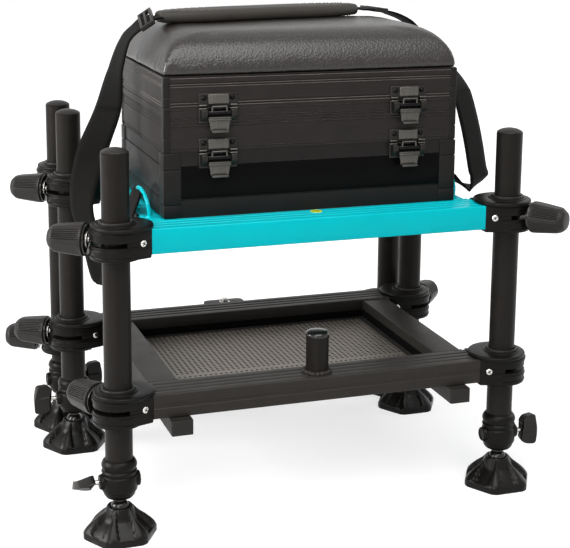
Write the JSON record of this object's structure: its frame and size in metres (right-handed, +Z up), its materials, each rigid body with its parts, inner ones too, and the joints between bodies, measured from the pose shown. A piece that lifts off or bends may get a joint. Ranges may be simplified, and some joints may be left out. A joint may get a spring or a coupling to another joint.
{
  "type": "fishing seat box",
  "caption": "Angler's seat box: padded hinged case on a turquoise frame with clamped telescopic legs, spreading feet and a height-adjustable footplate.",
  "frame": {"origin": "on the floor, midway between the axes of the two front legs", "axes": "+Z up, -Y towards the front where the sitter's feet are, +X to the sitter's left"},
  "size_m": [0.721, 0.5386, 0.672],
  "materials": {
    "turquoise": "gloss turquoise paint on aluminium extrusion",
    "casting": "satin black cast clamp",
    "vial": "clear yellow-green vial",
    "case": "satin black case",
    "leathercloth": "pebbled black leathercloth",
    "latch": "gunmetal plated steel",
    "anodised": "black anodised",
    "plastic": "satin black moulding",
    "rubber": "black moulded foot",
    "webbing": "black woven webbing"
  },
  "bodies": {
    "seat": {"seat_frame": "turquoise", "seat_clamp_front_left": "casting", "seat_clamp_front_right": "casting", "seat_clamp_rear_left": "casting", "seat_clamp_rear_right": "casting", "spirit_level": "vial", "case_base": "case", "strap_left": "webbing", "strap_right": "webbing"},
    "tray": {"case_tray": "case"},
    "lid": {"case_lid": "case", "seat_cushion": "leathercloth", "strap_sleeve": "webbing"},
    "footplate": {"footplate_frame": "anodised", "footplate_pan": "anodised", "slide_carrier": "anodised", "foot_clamp_front_left": "casting", "foot_clamp_front_right": "casting", "foot_clamp_mid_left": "casting", "foot_clamp_mid_right": "casting", "carrier_clamp_left": "casting", "carrier_clamp_right": "casting"},
    "latch_upper_left": {"latch_upper_left": "latch"},
    "latch_upper_right": {"latch_upper_right": "latch"},
    "latch_lower_left": {"latch_lower_left": "latch"},
    "latch_lower_right": {"latch_lower_right": "latch"},
    "leg_front_left": {"leg_front_left": "anodised"},
    "foot_stem_front_left": {"foot_stem_front_left": "plastic"},
    "mud_foot_front_left": {"mud_foot_front_left": "rubber"},
    "thumb_screw_front_left": {"thumb_screw_front_left": "plastic"},
    "leg_front_right": {"leg_front_right": "anodised"},
    "foot_stem_front_right": {"foot_stem_front_right": "plastic"},
    "mud_foot_front_right": {"mud_foot_front_right": "rubber"},
    "thumb_screw_front_right": {"thumb_screw_front_right": "plastic"},
    "leg_mid_left": {"leg_mid_left": "anodised"},
    "foot_stem_mid_left": {"foot_stem_mid_left": "plastic"},
    "mud_foot_mid_left": {"mud_foot_mid_left": "rubber"},
    "thumb_screw_mid_left": {"thumb_screw_mid_left": "plastic"},
    "leg_mid_right": {"leg_mid_right": "anodised"},
    "foot_stem_mid_right": {"foot_stem_mid_right": "plastic"},
    "mud_foot_mid_right": {"mud_foot_mid_right": "rubber"},
    "thumb_screw_mid_right": {"thumb_screw_mid_right": "plastic"},
    "leg_rear_left": {"leg_rear_left": "anodised"},
    "foot_stem_rear_left": {"foot_stem_rear_left": "plastic"},
    "mud_foot_rear_left": {"mud_foot_rear_left": "rubber"},
    "thumb_screw_rear_left": {"thumb_screw_rear_left": "plastic"},
    "leg_rear_right": {"leg_rear_right": "anodised"},
    "foot_stem_rear_right": {"foot_stem_rear_right": "plastic"},
    "mud_foot_rear_right": {"mud_foot_rear_right": "rubber"},
    "thumb_screw_rear_right": {"thumb_screw_rear_right": "plastic"},
    "seat_knob_front_left": {"seat_knob_front_left": "plastic"},
    "seat_knob_front_right": {"seat_knob_front_right": "plastic"},
    "seat_knob_rear_left": {"seat_knob_rear_left": "plastic"},
    "seat_knob_rear_right": {"seat_knob_rear_right": "plastic"},
    "foot_knob_front_left": {"foot_knob_front_left": "plastic"},
    "foot_knob_front_right": {"foot_knob_front_right": "plastic"},
    "foot_knob_mid_left": {"foot_knob_mid_left": "plastic"},
    "foot_knob_mid_right": {"foot_knob_mid_right": "plastic"},
    "carrier_knob_left": {"carrier_knob_left": "plastic"},
    "carrier_knob_right": {"carrier_knob_right": "plastic"}
  },
  "joints": [
    {"name": "tray_hinge", "type": "hinge", "parent": "seat", "child": "tray", "pos_m": [0, 0.285, 0.50045], "axis": [-1, 0, 0], "range_deg": [0, 75], "deforming": ["strap_left", "strap_right"]},
    {"name": "lid_hinge", "type": "hinge", "parent": "tray", "child": "lid", "pos_m": [0, 0.285, 0.55925], "axis": [-1, 0, 0], "range_deg": [0, 95], "deforming": ["strap_left", "strap_right"]},
    {"name": "latch_upper_left_pull", "type": "hinge", "parent": "tray", "child": "latch_upper_left", "pos_m": [-0.13325, 0.0205, 0.55225], "axis": [-1, 0, 0], "range_deg": [0, 110]},
    {"name": "latch_upper_right_pull", "type": "hinge", "parent": "tray", "child": "latch_upper_right", "pos_m": [0.13325, 0.0205, 0.55225], "axis": [-1, 0, 0], "range_deg": [0, 110]},
    {"name": "latch_lower_left_pull", "type": "hinge", "parent": "seat", "child": "latch_lower_left", "pos_m": [-0.13325, 0.0205, 0.49345], "axis": [-1, 0, 0], "range_deg": [0, 110]},
    {"name": "latch_lower_right_pull", "type": "hinge", "parent": "seat", "child": "latch_lower_right", "pos_m": [0.13325, 0.0205, 0.49345], "axis": [-1, 0, 0], "range_deg": [0, 110]},
    {"name": "footplate_height", "type": "slide", "parent": "seat", "child": "footplate", "axis": [0, 0, 1], "range_m": [-0.012, 0.1]},
    {"name": "leg_front_left_height", "type": "slide", "parent": "seat", "child": "leg_front_left", "axis": [0, 0, 1], "range_m": [-0.09, 0.03]},
    {"name": "foot_stem_front_left_reach", "type": "slide", "parent": "leg_front_left", "child": "foot_stem_front_left", "axis": [0, 0, 1], "range_m": [-0.06, 0.004]},
    {"name": "mud_foot_front_left_tilt", "type": "hinge", "parent": "foot_stem_front_left", "child": "mud_foot_front_left", "pos_m": [-0.275, 0, 0.038], "axis": [0, 1, 0], "range_deg": [-12, 12]},
    {"name": "thumb_screw_front_left_turn", "type": "hinge", "parent": "leg_front_left", "child": "thumb_screw_front_left", "pos_m": [-0.3023, 0, 0.076], "axis": [-1, 0, 0], "continuous": true},
    {"name": "leg_front_right_height", "type": "slide", "parent": "seat", "child": "leg_front_right", "axis": [0, 0, 1], "range_m": [-0.09, 0.03]},
    {"name": "foot_stem_front_right_reach", "type": "slide", "parent": "leg_front_right", "child": "foot_stem_front_right", "axis": [0, 0, 1], "range_m": [-0.06, 0.004]},
    {"name": "mud_foot_front_right_tilt", "type": "hinge", "parent": "foot_stem_front_right", "child": "mud_foot_front_right", "pos_m": [0.275, 0, 0.038], "axis": [0, 1, 0], "range_deg": [-12, 12]},
    {"name": "thumb_screw_front_right_turn", "type": "hinge", "parent": "leg_front_right", "child": "thumb_screw_front_right", "pos_m": [0.3023, 0, 0.076], "axis": [1, 0, 0], "continuous": true},
    {"name": "leg_mid_left_height", "type": "slide", "parent": "seat", "child": "leg_mid_left", "axis": [0, 0, 1], "range_m": [-0.09, 0.03]},
    {"name": "foot_stem_mid_left_reach", "type": "slide", "parent": "leg_mid_left", "child": "foot_stem_mid_left", "axis": [0, 0, 1], "range_m": [-0.06, 0.004]},
    {"name": "mud_foot_mid_left_tilt", "type": "hinge", "parent": "foot_stem_mid_left", "child": "mud_foot_mid_left", "pos_m": [-0.275, 0.328, 0.038], "axis": [0, 1, 0], "range_deg": [-12, 12]},
    {"name": "thumb_screw_mid_left_turn", "type": "hinge", "parent": "leg_mid_left", "child": "thumb_screw_mid_left", "pos_m": [-0.3023, 0.328, 0.076], "axis": [-1, 0, 0], "continuous": true},
    {"name": "leg_mid_right_height", "type": "slide", "parent": "seat", "child": "leg_mid_right", "axis": [0, 0, 1], "range_m": [-0.09, 0.03]},
    {"name": "foot_stem_mid_right_reach", "type": "slide", "parent": "leg_mid_right", "child": "foot_stem_mid_right", "axis": [0, 0, 1], "range_m": [-0.06, 0.004]},
    {"name": "mud_foot_mid_right_tilt", "type": "hinge", "parent": "foot_stem_mid_right", "child": "mud_foot_mid_right", "pos_m": [0.275, 0.328, 0.038], "axis": [0, 1, 0], "range_deg": [-12, 12]},
    {"name": "thumb_screw_mid_right_turn", "type": "hinge", "parent": "leg_mid_right", "child": "thumb_screw_mid_right", "pos_m": [0.2477, 0.328, 0.076], "axis": [-1, 0, 0], "continuous": true},
    {"name": "leg_rear_left_height", "type": "slide", "parent": "seat", "child": "leg_rear_left", "axis": [0, 0, 1], "range_m": [-0.09, 0]},
    {"name": "foot_stem_rear_left_reach", "type": "slide", "parent": "leg_rear_left", "child": "foot_stem_rear_left", "axis": [0, 0, 1], "range_m": [-0.06, 0.004]},
    {"name": "mud_foot_rear_left_tilt", "type": "hinge", "parent": "foot_stem_rear_left", "child": "mud_foot_rear_left", "pos_m": [-0.275, 0.416, 0.038], "axis": [0, 1, 0], "range_deg": [-12, 12]},
    {"name": "thumb_screw_rear_left_turn", "type": "hinge", "parent": "leg_rear_left", "child": "thumb_screw_rear_left", "pos_m": [-0.2477, 0.416, 0.076], "axis": [1, 0, 0], "continuous": true},
    {"name": "leg_rear_right_height", "type": "slide", "parent": "seat", "child": "leg_rear_right", "axis": [0, 0, 1], "range_m": [-0.09, 0]},
    {"name": "foot_stem_rear_right_reach", "type": "slide", "parent": "leg_rear_right", "child": "foot_stem_rear_right", "axis": [0, 0, 1], "range_m": [-0.06, 0.004]},
    {"name": "mud_foot_rear_right_tilt", "type": "hinge", "parent": "foot_stem_rear_right", "child": "mud_foot_rear_right", "pos_m": [0.275, 0.416, 0.038], "axis": [0, 1, 0], "range_deg": [-12, 12]},
    {"name": "thumb_screw_rear_right_turn", "type": "hinge", "parent": "leg_rear_right", "child": "thumb_screw_rear_right", "pos_m": [0.2477, 0.416, 0.076], "axis": [-1, 0, 0], "continuous": true},
    {"name": "seat_knob_front_left_turn", "type": "hinge", "parent": "seat", "child": "seat_knob_front_left", "pos_m": [-0.30471, 0.01715, 0.3975], "axis": [-0.866, 0.5, 0], "continuous": true},
    {"name": "seat_knob_front_right_turn", "type": "hinge", "parent": "seat", "child": "seat_knob_front_right", "pos_m": [0.29612, -0.02703, 0.3975], "axis": [0.6157, -0.788, 0], "continuous": true},
    {"name": "seat_knob_rear_left_turn", "type": "hinge", "parent": "seat", "child": "seat_knob_rear_left", "pos_m": [-0.30471, 0.34515, 0.3975], "axis": [-0.866, 0.5, 0], "continuous": true},
    {"name": "seat_knob_rear_right_turn", "type": "hinge", "parent": "seat", "child": "seat_knob_rear_right", "pos_m": [0.30471, 0.34515, 0.3975], "axis": [0.866, 0.5, 0], "continuous": true},
    {"name": "foot_knob_front_left_turn", "type": "hinge", "parent": "footplate", "child": "foot_knob_front_left", "pos_m": [-0.29215, 0.0297, 0.1775], "axis": [-0.5, 0.866, 0], "continuous": true},
    {"name": "foot_knob_front_right_turn", "type": "hinge", "parent": "footplate", "child": "foot_knob_front_right", "pos_m": [0.2911, 0.03028, 0.1775], "axis": [0.4695, 0.8829, 0], "continuous": true},
    {"name": "foot_knob_mid_left_turn", "type": "hinge", "parent": "footplate", "child": "foot_knob_mid_left", "pos_m": [-0.30471, 0.34515, 0.1775], "axis": [-0.866, 0.5, 0], "continuous": true},
    {"name": "foot_knob_mid_right_turn", "type": "hinge", "parent": "footplate", "child": "foot_knob_mid_right", "pos_m": [0.30049, 0.35095, 0.1775], "axis": [0.7431, 0.6691, 0], "continuous": true},
    {"name": "carrier_knob_left_turn", "type": "hinge", "parent": "footplate", "child": "carrier_knob_left", "pos_m": [-0.3068, 0.42885, 0.1442], "axis": [-0.9272, 0.3746, 0], "continuous": true},
    {"name": "carrier_knob_right_turn", "type": "hinge", "parent": "footplate", "child": "carrier_knob_right", "pos_m": [0.3068, 0.42885, 0.1442], "axis": [0.9272, 0.3746, 0], "continuous": true}
  ]
}
